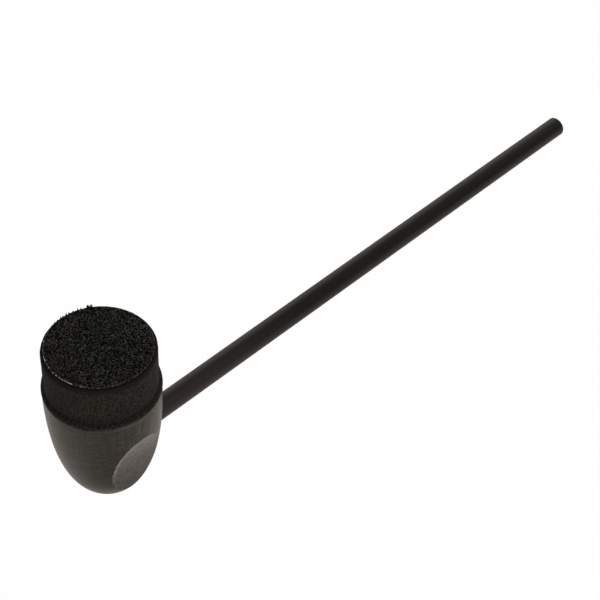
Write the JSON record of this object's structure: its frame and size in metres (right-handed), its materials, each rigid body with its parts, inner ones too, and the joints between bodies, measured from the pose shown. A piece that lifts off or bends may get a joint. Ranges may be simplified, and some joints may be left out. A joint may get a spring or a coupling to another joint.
{
  "type": "bass drum beater",
  "caption": "Bass drum pedal beater: straight black rod shaft, bullet-shaped moulded head with thumb scallops, thick foam cushion and a looped fabric striking face.",
  "frame": {"origin": "On the shaft's axis where its full diameter ends, at the chamfer of the free end that goes into the pedal's hub.", "axes": "+X runs along the shaft and out of its free end, away from the head. +Z is the way the striking face looks, square to the shaft. +Y completes the right-handed frame, and the part is symmetric about the XZ plane."},
  "size_m": [0.2682, 0.039, 0.0675],
  "materials": {
    "black_coated_steel": "satin black coating",
    "insert_brass": "machined",
    "moulded_body": "fine moulded texture, semi-matt",
    "base_glue": "cured contact glue",
    "pad_foam": "closed-cell foam, matt",
    "face_glue": "cured clear-white glue",
    "loop_fabric": "looped pile"
  },
  "bodies": {
    "root": {"shaft": "black_coated_steel", "threaded_insert": "insert_brass", "head_body": "moulded_body", "base_adhesive": "base_glue", "foam_pad": "pad_foam", "face_adhesive": "face_glue", "face_fabric": "loop_fabric"}
  },
  "joints": []
}
